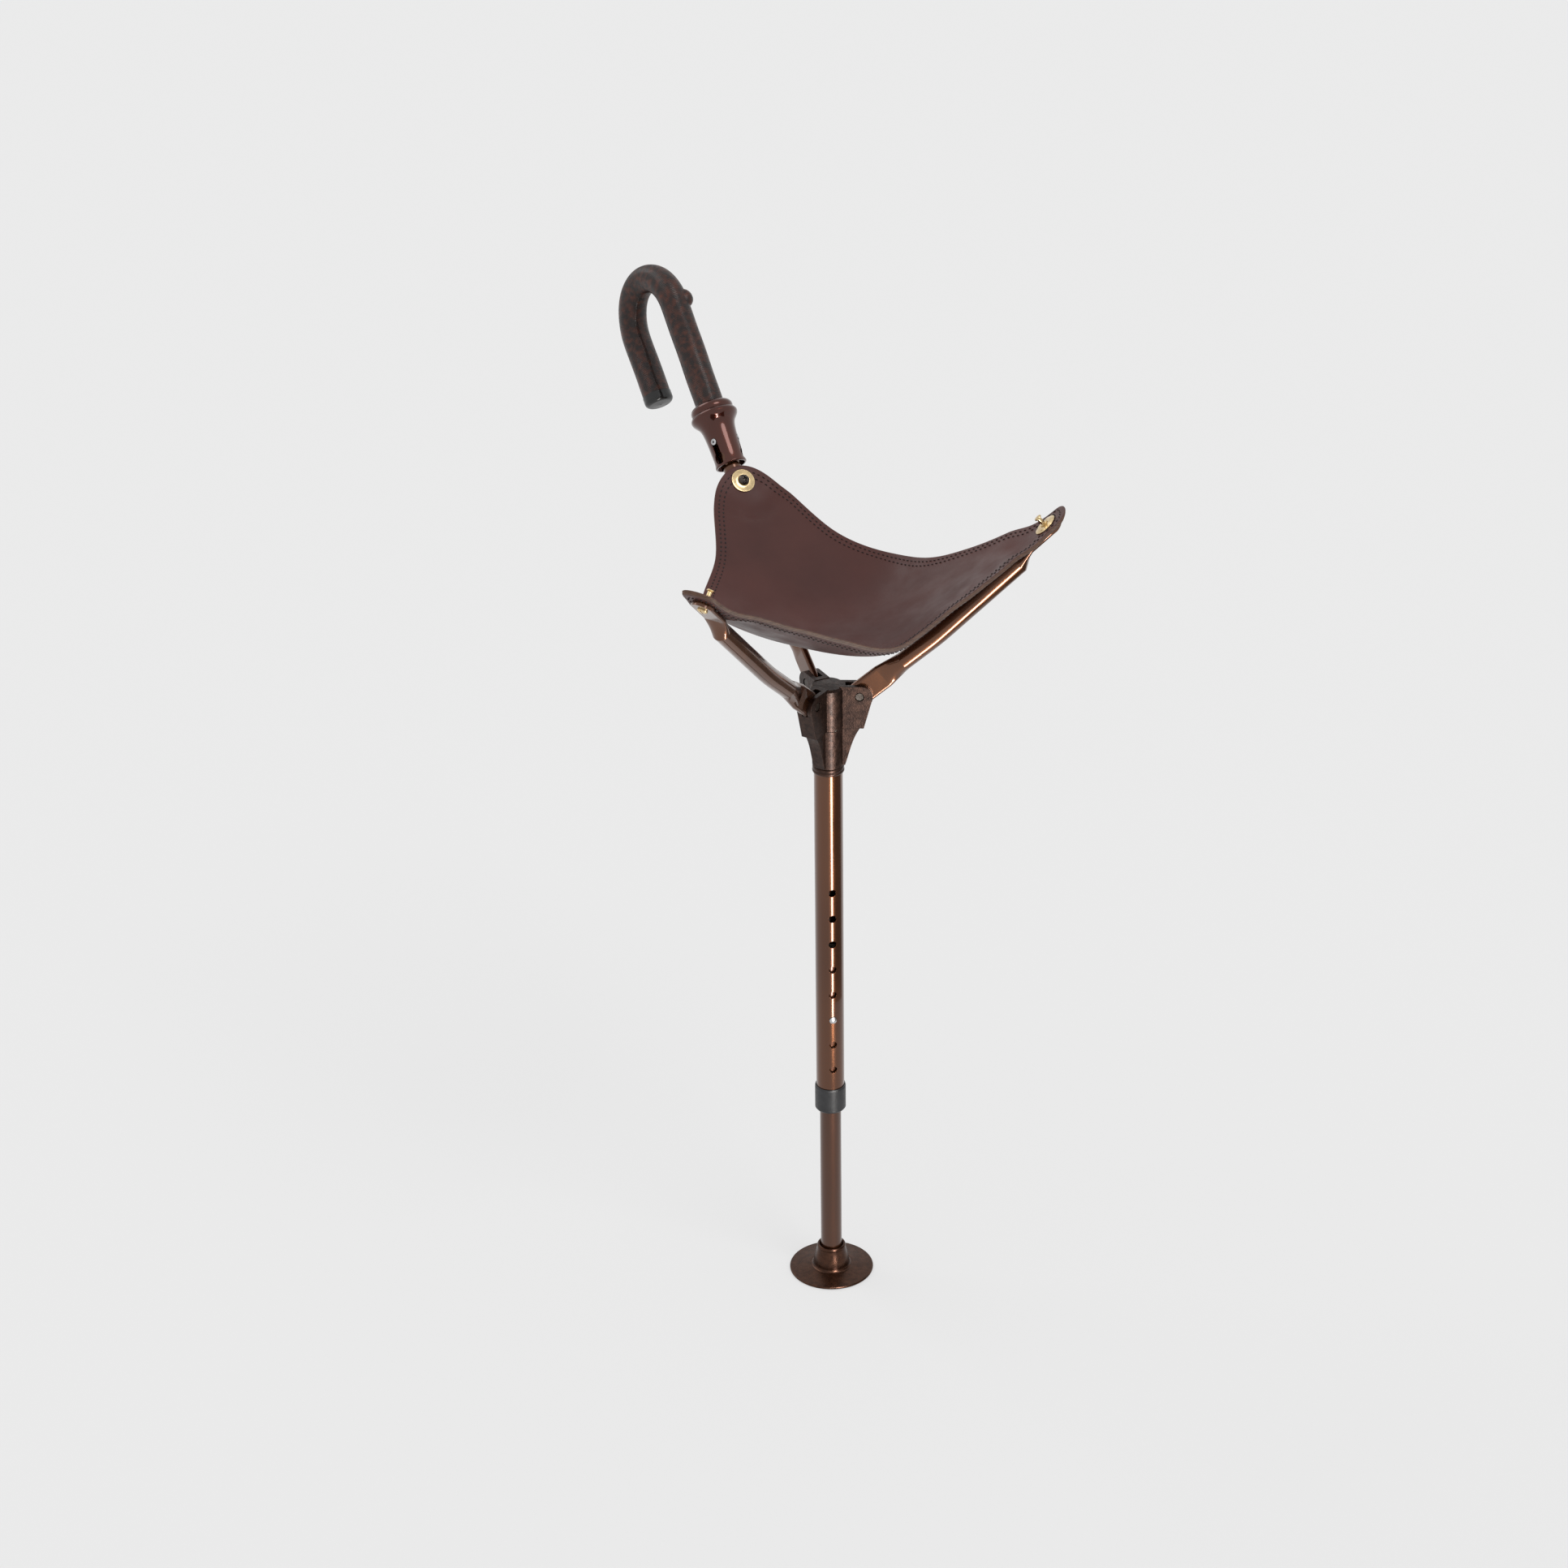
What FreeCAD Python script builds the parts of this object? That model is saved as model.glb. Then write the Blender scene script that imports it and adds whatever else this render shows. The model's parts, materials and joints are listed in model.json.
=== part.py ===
import FreeCAD, Part
import math
import os

V = FreeCAD.Vector
X, Y, Z = V(1, 0, 0), V(0, 1, 0), V(0, 0, 1)

# Walking stick seat, opened and stood on its foot disc. Millimetres.
# Origin: centre of the disc's underside. +Z runs up the stick, +X runs out along the right arm.

# foot
DISC_R = 38.0
DISC_EDGE = 2.2
SOCKET_TOP = 26.0
SPIKE_R = 4.0
SPIKE_DEPTH = 32.0
THREAD_R = 3.5
SHOULDER_R = 7.0
SHOULDER_T = 2.2

# telescoping tubes
INNER_R = 9.5
OUTER_R = 12.5
WALL = 1.5
INNER_TOP = 330.0
OUTER_BOTTOM = 175.5
OUTER_TOP = 570.0
HOLE_R = 3.5
HOLE_PITCH = 25.5
HOLE_COUNT = 8
TOP_HOLE_Z = 395.5
BUTTON_HOLE = 6
HOLE_AZ = -75.0
BUTTON_Z = TOP_HOLE_Z - HOLE_PITCH * (BUTTON_HOLE - 1)

# hub
HUB_BOTTOM = 516.0
HUB_TOP = 592.0
HUB_R = 13.8
PIN_RADIUS = 27.0
PIN_Z = 582.5
EAR_BOTTOM = 553.0
CLEVIS_W = 14.2
SLOT_W = 6.3
PIN_R = 3.0

# arms: azimuth, distance from the pin to the bend, bend angle
STOP_ANGLE = 50.0
ARMS = {
    "handle": (120.0, 80.0, 7.2),
    "right": (0.0, 85.0, 4.4),
    "left": (-120.0, 85.0, 4.4),
}
TUBE_R = 8.0
ROOT_T = 6.0
ROOT_W = 22.4
BEND_R = 250.0
TIP_S = 181.0
STUD_S = 220.0
PLATE_TOP = 6.5
PLATE_T = 4.0
PLATE_W = 21.0

# handle arm, collar and crook, measured along the arm from its pin
SCREW_S = 188.0
LIP_S = 207.2
WIDE_S = LIP_S + 6.9
GUIDE_S = WIDE_S + 15.3
ARM_TOP_S = LIP_S + 48.0
SOCKET_S = LIP_S + 50.0
COLLAR_LEN = 58.0
COLLAR_BORE = 12.2
CROOK_R = 12.6
BEND_START_S = 363.8
CROOK_BEND = 38.2
CROOK_ARC = 181.2
CROOK_TWIST = 8.1
NOSE_LEN = 53.2
CAP_LEN = 9.2

# leather
LEATHER_T = 3.6
FIT = 0.1


def cyl(radius, height, base=V(0, 0, 0), direction=Z):
    return Part.makeCylinder(radius, height, base, direction)


def ring(outer, inner, z0, z1):
    return cyl(outer, z1 - z0, V(0, 0, z0)).cut(cyl(inner, z1 - z0, V(0, 0, z0)))


def revolve(edges):
    face = Part.Face(Part.Wire(edges))
    return face.revolve(V(0, 0, 0), Z, 360)


def poly(points):
    closed = points + [points[0]]
    return [Part.LineSegment(a, b).toShape() for a, b in zip(closed, closed[1:])]


def spline(points):
    curve = Part.BSplineCurve()
    curve.interpolate(points)
    return curve.toShape()


def turned(shape, azimuth):
    out = shape.copy()
    out.rotate(V(0, 0, 0), Z, azimuth)
    return out


def box(x0, x1, y0, y1, z0, z1):
    return Part.makeBox(x1 - x0, y1 - y0, z1 - z0, V(x0, y0, z0))


def radial(azimuth, distance, height):
    a = math.radians(azimuth)
    return V(distance * math.cos(a), distance * math.sin(a), height)


# Pieces on an arm are drawn with local +Z along the tube and local -X facing the leather.


def past_bend(shape, arm):
    _, bend_s, bend = ARMS[arm]
    out = shape.copy()
    out.rotate(V(0, 0, bend_s), Y, -bend)
    return out


def opened(shape, arm):
    out = shape.copy()
    out.rotate(V(0, 0, 0), Y, STOP_ANGLE)
    out.translate(V(PIN_RADIUS, 0, PIN_Z))
    out.rotate(V(0, 0, 0), Z, ARMS[arm][0])
    return out


def on_arm(shape, arm):
    return opened(past_bend(shape, arm), arm)


def arm_line(arm, offset):
    """Height and slope, against radius, of a line offset toward the leather from an arm's upper axis."""
    _, bend_s, bend = ARMS[arm]
    low, high = math.radians(STOP_ANGLE), math.radians(STOP_ANGLE - bend)
    r0 = PIN_RADIUS + bend_s * math.sin(low) - offset * math.cos(high)
    z0 = PIN_Z + bend_s * math.cos(low) + offset * math.sin(high)
    return r0, z0, 1.0 / math.tan(high)


def foot_plate():
    """Disc with a bell-shaped socket; the spike's shoulder sits flush in a recess underneath."""
    recess_r, recess_z = SHOULDER_R + 0.1, SHOULDER_T + 0.1
    profile = [
        Part.LineSegment(V(recess_r, 0, 0), V(DISC_R - 0.8, 0, 0)).toShape(),
        Part.Arc(V(DISC_R - 0.8, 0, 0), V(DISC_R, 0, 1.0), V(DISC_R - 0.6, 0, DISC_EDGE)).toShape(),
        spline([V(DISC_R - 0.6, 0, DISC_EDGE), V(28, 0, 3.1), V(19.5, 0, 4.2)]),
        Part.Arc(V(19.5, 0, 4.2), V(17.2, 0, 4.9), V(16.4, 0, 6.6)).toShape(),
        spline([V(16.4, 0, 6.6), V(15.9, 0, 10.5), V(14.3, 0, 17.0), V(12.9, 0, 23.2)]),
        Part.Arc(V(12.9, 0, 23.2), V(12.9, 0, 24.8), V(12.0, 0, SOCKET_TOP)).toShape(),
        Part.LineSegment(V(12.0, 0, SOCKET_TOP), V(11.0, 0, SOCKET_TOP)).toShape(),
        Part.LineSegment(V(11.0, 0, SOCKET_TOP), V(INNER_R + 0.03, 0, SOCKET_TOP - 1.6)).toShape(),
        Part.LineSegment(V(INNER_R + 0.03, 0, SOCKET_TOP - 1.6), V(INNER_R + 0.03, 0, 4)).toShape(),
        Part.LineSegment(V(INNER_R + 0.03, 0, 4), V(THREAD_R + 0.05, 0, 4)).toShape(),
        Part.LineSegment(V(THREAD_R + 0.05, 0, 4), V(THREAD_R + 0.05, 0, recess_z)).toShape(),
        Part.LineSegment(V(THREAD_R + 0.05, 0, recess_z), V(recess_r, 0, recess_z)).toShape(),
        Part.LineSegment(V(recess_r, 0, recess_z), V(recess_r, 0, 0)).toShape(),
    ]
    return revolve(profile)


def ground_spike():
    d = -SPIKE_DEPTH
    top = SHOULDER_T + 0.05
    points = [(0, d), (1.2, d), (SPIKE_R, d + 10), (SPIKE_R, -3.0), (THREAD_R, -2.5), (THREAD_R, 0.05)]
    points += [(SHOULDER_R, 0.05), (SHOULDER_R, top), (THREAD_R, top), (THREAD_R, 11.4), (0, 11.4)]
    return revolve(poly([V(r, 0, z) for r, z in points]))


def spike_nut():
    hexagon = [radial(60 * i, 7.4, 4.05) for i in range(6)]
    nut = Part.Face(Part.Wire(poly(hexagon))).extrude(V(0, 0, 6.4))
    return nut.cut(cyl(THREAD_R + 0.03, 8, V(0, 0, 3.5)))


def inner_tube():
    tube = ring(INNER_R, INNER_R - WALL, 4.05, INNER_TOP)
    return tube.cut(cyl(3.4, 20, V(0, 0, BUTTON_Z), radial(HOLE_AZ, 1, 0)))


def inner_tube_bush():
    sleeve = OUTER_R - WALL - 0.06
    points = [(INNER_R + 0.03, INNER_TOP - 7), (sleeve - 0.6, INNER_TOP - 7), (sleeve, INNER_TOP - 6.4)]
    points += [(sleeve, INNER_TOP + 2.4), (sleeve - 0.8, INNER_TOP + 3.2), (6.6, INNER_TOP + 3.2)]
    points += [(6.6, INNER_TOP + 0.05), (INNER_R + 0.03, INNER_TOP + 0.05)]
    return revolve(poly([V(r, 0, z) for r, z in points]))


def snap_button():
    dome = Part.makeSphere(5.0, V(0, 0, 14.0 - 5.0))
    pin = cyl(3.25, 14.0 - 6.3, V(0, 0, 6.3)).common(dome.fuse(cyl(6, 6.4, V(0, 0, 6.0))))
    flange = cyl(4.5, 1.3, V(0, 0, 5.05))
    button = flange.fuse(pin)
    button.rotate(V(0, 0, 0), Y, 90)
    button = turned(button, HOLE_AZ)
    button.translate(V(0, 0, BUTTON_Z))
    return button


def snap_spring():
    """A strip bent to a hairpin: one leg bears on the tube wall, the other carries the button."""
    t = 0.6
    front, back, low = 5.0, -7.6, -34.0
    mid = (front + back) / 2.0
    half = (front - back) / 2.0

    def bow(inset):
        return Part.Arc(
            V(front - inset, 0, low), V(mid, 0, low - half + inset), V(back + inset, 0, low)
        ).toShape()

    edges = [
        Part.LineSegment(V(front, 0, 6), V(front, 0, low)).toShape(),
        bow(0),
        Part.LineSegment(V(back, 0, low), V(back, 0, 4)).toShape(),
        Part.LineSegment(V(back, 0, 4), V(back + t, 0, 4)).toShape(),
        Part.LineSegment(V(back + t, 0, 4), V(back + t, 0, low)).toShape(),
        bow(t),
        Part.LineSegment(V(front - t, 0, low), V(front - t, 0, 6)).toShape(),
        Part.LineSegment(V(front - t, 0, 6), V(front, 0, 6)).toShape(),
    ]
    strip = Part.Face(Part.Wire(Part.__sortEdges__(edges))).extrude(V(0, 5, 0))
    strip.translate(V(0, -2.5, BUTTON_Z))
    return turned(strip, HOLE_AZ)


def outer_tube():
    tube = ring(OUTER_R, OUTER_R - WALL, OUTER_BOTTOM, OUTER_TOP)
    for i in range(HOLE_COUNT):
        z = TOP_HOLE_Z - HOLE_PITCH * i
        tube = tube.cut(cyl(HOLE_R, 20, V(0, 0, z), radial(HOLE_AZ, 1, 0)))
    return tube.cut(cyl(1.55, 60, radial(-60, -30, EAR_BOTTOM), radial(-60, 1, 0)))


def tube_end_ring():
    r = OUTER_R + 0.03
    points = [(INNER_R + 0.08, 171.7), (12.6, 171.7), (13.75, 173.2), (13.75, 194.6)]
    points += [(13.3, 195.6), (13.3, 196.3), (r, 196.3), (r, OUTER_BOTTOM - 0.03)]
    points += [(INNER_R + 0.08, OUTER_BOTTOM - 0.03)]
    return revolve(poly([V(a, 0, z) for a, z in points]))


def hub_trim_ring():
    r = OUTER_R + 0.03
    edges = [
        Part.LineSegment(V(r, 0, 509.4), V(13.2, 0, 509.4)).toShape(),
        Part.Arc(V(13.2, 0, 509.4), V(13.9, 0, 510.9), V(13.2, 0, 512.4)).toShape(),
        Part.Arc(V(13.2, 0, 512.4), V(13.7, 0, 513.9), V(13.2, 0, 515.4)).toShape(),
        Part.LineSegment(V(13.2, 0, 515.4), V(r, 0, 515.4)).toShape(),
        Part.LineSegment(V(r, 0, 515.4), V(r, 0, 509.4)).toShape(),
    ]
    return revolve(edges)


def clevis():
    """One solid ear block with its tapering gusset, built on the +X side."""
    out_r = 37.2
    block = [
        Part.LineSegment(V(10, 0, EAR_BOTTOM), V(30.6, 0, EAR_BOTTOM)).toShape(),
        Part.LineSegment(V(30.6, 0, EAR_BOTTOM), V(out_r, 0, 577.5)).toShape(),
        Part.Arc(V(out_r, 0, 577.5), V(35.8, 0, 588.6), V(28.5, 0, HUB_TOP)).toShape(),
        Part.LineSegment(V(28.5, 0, HUB_TOP), V(10, 0, HUB_TOP)).toShape(),
        Part.LineSegment(V(10, 0, HUB_TOP), V(10, 0, EAR_BOTTOM)).toShape(),
    ]
    ears = Part.Face(Part.Wire(block)).extrude(V(0, CLEVIS_W, 0))
    ears.translate(V(0, -CLEVIS_W / 2, 0))
    web = [
        Part.LineSegment(V(10, 0, 517.5), V(14.6, 0, 517.5)).toShape(),
        spline([V(14.6, 0, 517.5), V(16.0, 0, 522), V(20.6, 0, 538), V(28.0, 0, EAR_BOTTOM + 0.5)]),
        Part.LineSegment(V(28.0, 0, EAR_BOTTOM + 0.5), V(10, 0, EAR_BOTTOM + 0.5)).toShape(),
        Part.LineSegment(V(10, 0, EAR_BOTTOM + 0.5), V(10, 0, 517.5)).toShape(),
    ]
    gusset = Part.Face(Part.Wire(web)).extrude(V(0, CLEVIS_W - 3.0, 0))
    gusset.translate(V(0, -(CLEVIS_W - 3.0) / 2, 0))
    return ears.fuse(gusset)


def arm_slot():
    """Room between the ears for a root plate to swing from its open stop to upright."""
    a = math.radians(STOP_ANGLE)
    along, down = V(math.sin(a), 0, math.cos(a)), V(math.cos(a), 0, -math.sin(a))
    pin = V(PIN_RADIUS, 0, PIN_Z)
    stop = pin + down * (ROOT_W / 2 + 0.03)
    far = stop + along * 60
    inner = PIN_RADIUS - ROOT_W / 2 - 0.9
    points = [V(inner, 0, PIN_Z), stop, far, V(far.x, 0, 640), V(inner, 0, 640)]
    swing = Part.Face(Part.Wire(poly(points))).extrude(V(0, SLOT_W, 0))
    swing.translate(V(0, -SLOT_W / 2, 0))
    round_end = cyl(ROOT_W / 2 + 0.3, SLOT_W, pin - V(0, SLOT_W / 2, 0), Y)
    return swing.fuse(round_end)


def hub_casting():
    body = revolve(
        poly(
            [
                V(0, 0, HUB_BOTTOM),
                V(HUB_R - 0.5, 0, HUB_BOTTOM),
                V(HUB_R, 0, HUB_BOTTOM + 0.5),
                V(HUB_R, 0, EAR_BOTTOM - 1.0),
                V(HUB_R + 0.9, 0, EAR_BOTTOM),
                V(HUB_R + 0.9, 0, HUB_TOP - 2.5),
                V(HUB_R - 0.6, 0, HUB_TOP - 0.6),
                V(0, 0, HUB_TOP),
            ]
        )
    )
    for azimuth, _, _ in ARMS.values():
        body = body.fuse(turned(clevis(), azimuth))
    body = body.removeSplitter()
    cuts = [cyl(OUTER_R + 0.03, OUTER_TOP + 0.5 - HUB_BOTTOM + 1, V(0, 0, HUB_BOTTOM - 1))]
    cuts.append(cyl(1.53, 60, radial(-60, -30, EAR_BOTTOM), radial(-60, 1, 0)))
    for azimuth, _, _ in ARMS.values():
        pin = cyl(PIN_R + 0.01, CLEVIS_W + 2, V(PIN_RADIUS, -CLEVIS_W / 2 - 1, PIN_Z), Y)
        left = cyl(4.0, 2.0, V(PIN_RADIUS, CLEVIS_W / 2 - 1.4, PIN_Z), Y)
        right = cyl(4.0, 2.0, V(PIN_RADIUS, -CLEVIS_W / 2 + 1.4, PIN_Z), -Y)
        cuts.append(turned(arm_slot().fuse(pin).fuse(left).fuse(right), azimuth))
    for tool in cuts:
        body = body.cut(tool)
    return body


def hub_fixing_pin():
    length = 2 * HUB_R - 1.0
    pin = cyl(1.5, length, radial(-60, -length / 2, EAR_BOTTOM), radial(-60, 1, 0))
    return pin


def arm_pivot_pins():
    pins = []
    for azimuth, _, _ in ARMS.values():
        half = CLEVIS_W / 2 - 0.5
        pin = cyl(PIN_R - 0.02, 2 * half, V(PIN_RADIUS, -half, PIN_Z), Y)
        for side in (-1, 1):
            base = V(PIN_RADIUS, side * (CLEVIS_W / 2 - 1.38), PIN_Z)
            pin = pin.fuse(Part.makeCone(3.9, 3.2, 0.9, base, V(0, side, 0)))
        pins.append(turned(pin, azimuth))
    return Part.makeCompound(pins)


def stadium(half_x, half_y, x_mid, s):
    """A flat oval section of four edges, long in X or in Y."""
    if half_x > half_y:
        c, r = half_x - half_y, half_y
        corners = [V(c, r, 0), V(-c, r, 0), V(-c, -r, 0), V(c, -r, 0)]
        ends = [None, V(-half_x, 0, 0), None, V(half_x, 0, 0)]
    else:
        c, r = half_y - half_x, half_x
        corners = [V(r, c, 0), V(-r, c, 0), V(-r, -c, 0), V(r, -c, 0)]
        ends = [V(0, half_y, 0), None, V(0, -half_y, 0), None]
    at = V(x_mid, 0, s)
    edges = []
    for i, end in enumerate(ends):
        a, b = corners[i] + at, corners[(i + 1) % 4] + at
        edges.append((Part.LineSegment(a, b) if end is None else Part.Arc(a, end + at, b)).toShape())
    return Part.Wire(edges)


def round_section(radius, s, long_in_x):
    """A circle split in four so that it lofts cleanly to a flat oval."""
    corner = 22.0 if long_in_x else 68.0
    angles = [corner, 180 - corner, 180 + corner, 360 - corner]
    edges = []
    for i, a in enumerate(angles):
        b = angles[(i + 1) % 4]
        b = b + 360 if b < a else b
        p = [radial(t, radius, s) for t in (a, (a + b) / 2.0, b)]
        edges.append(Part.Arc(*p).toShape())
    return Part.Wire(edges)


def bent_rod(arm, radius, s0, s1):
    """Round rod along an arm's axis, straight, through the bend, straight."""
    _, bend_s, bend = ARMS[arm]
    half = BEND_R * math.tan(math.radians(bend / 2))
    b = math.radians(bend)

    def beyond(s):
        return V(-(s - bend_s) * math.sin(b), 0, bend_s + (s - bend_s) * math.cos(b))

    a, c = V(0, 0, bend_s - half), beyond(bend_s + half)
    centre = V(-BEND_R, 0, bend_s - half)
    mid = centre + V(BEND_R * math.cos(b / 2), 0, BEND_R * math.sin(b / 2))
    path = Part.Wire(
        [
            Part.LineSegment(V(0, 0, s0), a).toShape(),
            Part.Arc(a, mid, c).toShape(),
            Part.LineSegment(c, beyond(s1)).toShape(),
        ]
    )
    section = Part.Wire(Part.makeCircle(radius, V(0, 0, s0), Z))
    return path.makePipeShell([section], True, False)


def arm_root():
    """Flattened tube end round the pin, swaged out to the round tube; returns outside and bore."""
    keep = cyl(ROOT_W / 2, 20, V(0, -10, 0), Y).fuse(box(-15, 15, -10, 10, 0, 28))
    shell = Part.Face(stadium(ROOT_W / 2, ROOT_T / 2, 0, -12)).extrude(V(0, 0, 38)).common(keep)
    hollow = Part.Face(stadium(ROOT_W / 2 - WALL, ROOT_T / 2 - WALL, 0, -12)).extrude(V(0, 0, 38))
    sections = [stadium(ROOT_W / 2, ROOT_T / 2, 0, 26), round_section(TUBE_R, 48, True)]
    bore = [
        stadium(ROOT_W / 2 - WALL, ROOT_T / 2 - WALL, 0, 26),
        round_section(TUBE_R - WALL, 48, True),
    ]
    shell = shell.fuse(Part.makeLoft(sections, True, True))
    hollow = hollow.fuse(Part.makeLoft(bore, True, True))
    return shell, hollow


def arm_tip():
    """Scooped transition and flat plate under the leather corner; returns outside and bore."""
    mid = -(PLATE_TOP - PLATE_T / 2)
    start, flat = TIP_S, TIP_S + 17.0
    plate = stadium(PLATE_T / 2, PLATE_W / 2, mid, flat)
    shell = Part.makeLoft([round_section(TUBE_R, start, False), plate], True, True)
    blank = Part.Face(plate).extrude(V(0, 0, STUD_S + PLATE_W / 2 - flat))
    disc = cyl(PLATE_W / 2, 30, V(-20, 0, STUD_S), X)
    blank = blank.common(disc.fuse(box(-20, 20, -20, 20, flat, STUD_S)))
    bore = [
        round_section(TUBE_R - WALL, start, False),
        stadium(0.4, 7.5, mid, flat - 2.0),
    ]
    return shell.fuse(blank), Part.makeLoft(bore, True, True)


def arm_tube(arm):
    root, root_bore = arm_root()
    end = ARM_TOP_S if arm == "handle" else TIP_S
    body = root.fuse(bent_rod(arm, TUBE_R, 48, end))
    bore = root_bore.fuse(bent_rod(arm, TUBE_R - WALL, 48, end))
    if arm == "handle":
        holes = [cyl(1.9, 12, V(0, 0, SCREW_S), -X)]
        for azimuth in (120, 240):
            holes.append(cyl(2.25, 12, V(0, 0, GUIDE_S), radial(azimuth, 1, 0)))
    else:
        tip, tip_bore = arm_tip()
        body = body.fuse(past_bend(tip, arm))
        bore = bore.fuse(past_bend(tip_bore, arm))
        holes = [cyl(2.56, 12, V(2, 0, STUD_S), -X)]
    body = body.cut(bore)
    for hole in holes:
        body = body.cut(past_bend(hole, arm))
    body = body.cut(cyl(PIN_R + 0.02, 30, V(0, -15, 0), Y))
    return opened(body, arm)


def cup_washer(offset, arm, s, hole):
    """Dished washer with a rolled rim, flat on the leather; local axis along -X."""
    edges = [
        Part.LineSegment(V(hole, 0, 0), V(9.9, 0, 0)).toShape(),
        Part.Arc(V(9.9, 0, 0), V(10.5, 0, 0.5), V(9.9, 0, 1.0)).toShape(),
        spline([V(9.9, 0, 1.0), V(8.2, 0, 1.5), V(6.2, 0, 2.0), V(5.0, 0, 2.0)]),
        Part.LineSegment(V(5.0, 0, 2.0), V(hole, 0, 1.2)).toShape(),
        Part.LineSegment(V(hole, 0, 1.2), V(hole, 0, 0)).toShape(),
    ]
    washer = revolve(edges)
    washer.rotate(V(0, 0, 0), Y, -90)
    washer.translate(V(-offset, 0, s))
    return on_arm(washer, arm)


def seat_screw():
    """Round-headed cross-recess screw through the leather into the handle arm."""
    base = TUBE_R + FIT + LEATHER_T + FIT
    shank = cyl(1.85, base + 2.5 - 4.5, V(-4.5, 0, SCREW_S), -X)
    seat = base + 1.95
    dome = Part.makeSphere(5.6, V(-(seat - 1.5), 0, SCREW_S))
    head = cyl(4.6, 5, V(-seat, 0, SCREW_S), -X).common(dome)
    recess = box(-40, -(seat + 1.6), -0.6, 0.6, SCREW_S - 2.2, SCREW_S + 2.2)
    recess = recess.fuse(box(-40, -(seat + 1.6), -2.2, 2.2, SCREW_S - 0.6, SCREW_S + 0.6))
    return on_arm(shank.fuse(head).cut(recess), "handle")


def lock_stud(arm):
    """Mushroom stud that stands on the washer and enters the collar's keyhole."""
    base = PLATE_TOP + FIT + LEATHER_T + FIT
    points = [(1.55, 3.2 - base), (2.5, 3.2 - base), (2.5, 1.6), (3.6, 1.65), (3.6, 2.5), (2.0, 3.1)]
    points += [(2.0, 8.3), (2.9, 8.6), (3.3, 9.1), (3.0, 9.9), (0, 10.4), (0, 0.4), (1.55, 0.0)]
    stud = revolve(poly([V(r, 0, z) for r, z in points]))
    stud.rotate(V(0, 0, 0), Y, -90)
    stud.translate(V(-base, 0, STUD_S))
    return on_arm(stud, arm)


def stud_screw(arm):
    low = PLATE_TOP - PLATE_T
    points = [(0, -1.9), (3.2, -1.9), (4.4, -1.1), (4.4, -0.05), (1.5, -0.05), (1.5, 6.6), (0, 6.6)]
    screw = revolve(poly([V(r, 0, z) for r, z in points]))
    screw = screw.cut(box(-6, 6, -0.55, 0.55, -3, -1.1))
    screw.rotate(V(0, 0, 0), Y, -90)
    screw.translate(V(-low, 0, STUD_S))
    return on_arm(screw, arm)


def keyhole(azimuth):
    wide = cyl(5.3, 30, V(0, 0, WIDE_S), X)
    slot = box(0, 30, -3, 3, WIDE_S, GUIDE_S)
    top = cyl(3.0, 30, V(0, 0, GUIDE_S), X)
    cut = wide.fuse(slot).fuse(top).common(box(9, 30, -8, 8, LIP_S, LIP_S + 50))
    return turned(cut, azimuth)


def locking_collar():
    def at(r, s):
        return V(r, 0, LIP_S + s)

    waist = [(13.9, 1.4), (13.4, 4.5), (13.4, 13), (13.8, 24), (14.5, 32), (16.8, 39.6), (20.1, 44)]
    waist += [(20.9, 46.3)]
    flange = [(20.9, 46.3), (20.2, 48.6), (18.5, 49.8)]
    bead = [(18.1, 50.4), (18.7, 52.0), (18.5, 54.8), (16.8, 57.0), (14.8, COLLAR_LEN)]
    socket, sleeve = CROOK_R + 0.06, TUBE_R + 0.07
    inside = [(socket, COLLAR_LEN), (socket, 50), (sleeve, 50), (sleeve, 34.6), (COLLAR_BORE, 33.4)]
    inside += [(COLLAR_BORE, 0.0), (13.1, 0.0)]
    edges = [
        Part.Arc(at(13.1, 0), at(13.75, 0.4), at(13.9, 1.4)).toShape(),
        spline([at(*p) for p in waist]),
        spline([at(*p) for p in flange]),
        Part.LineSegment(at(18.5, 49.8), at(18.1, 50.4)).toShape(),
        spline([at(*p) for p in bead]),
        Part.LineSegment(at(14.8, COLLAR_LEN), at(socket, COLLAR_LEN)).toShape(),
    ]
    for a, b in zip(inside, inside[1:]):
        edges.append(Part.LineSegment(at(*a), at(*b)).toShape())
    collar = revolve(edges)
    for azimuth in (120, 240):
        collar = collar.cut(keyhole(azimuth))
    return on_arm(collar, "handle")


def crook_path(start):
    """Shaft, half-round bend and straight nose, hooking away from the stick."""
    a = math.radians(CROOK_ARC)
    t = math.radians(CROOK_TWIST)
    side = V(math.cos(t), math.sin(t), 0)

    def on_bend(angle):
        return V(0, 0, BEND_START_S) + (Z * math.sin(angle) + side * (1 - math.cos(angle))) * CROOK_BEND

    nose = Z * math.cos(a) + side * math.sin(a)
    end = on_bend(a)
    edges = [
        Part.LineSegment(V(0, 0, start), on_bend(0)).toShape(),
        Part.Arc(on_bend(0), on_bend(a / 2), end).toShape(),
        Part.LineSegment(end, end + nose * NOSE_LEN).toShape(),
    ]
    return Part.Wire(edges), end + nose * NOSE_LEN, nose


def crook_handle():
    path, _, _ = crook_path(SOCKET_S + FIT)
    section = Part.Wire(Part.makeCircle(CROOK_R, V(0, 0, SOCKET_S + FIT), Z))
    rod = path.makePipeShell([section], True, False)
    knot = Part.makeSphere(8.0, radial(-117, 9.0, BEND_START_S))
    rod = rod.fuse(knot).removeSplitter()
    rod = rod.cut(cyl(3.05, 36, V(0, 0, SOCKET_S - 1)))
    return on_arm(rod, "handle")


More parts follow.
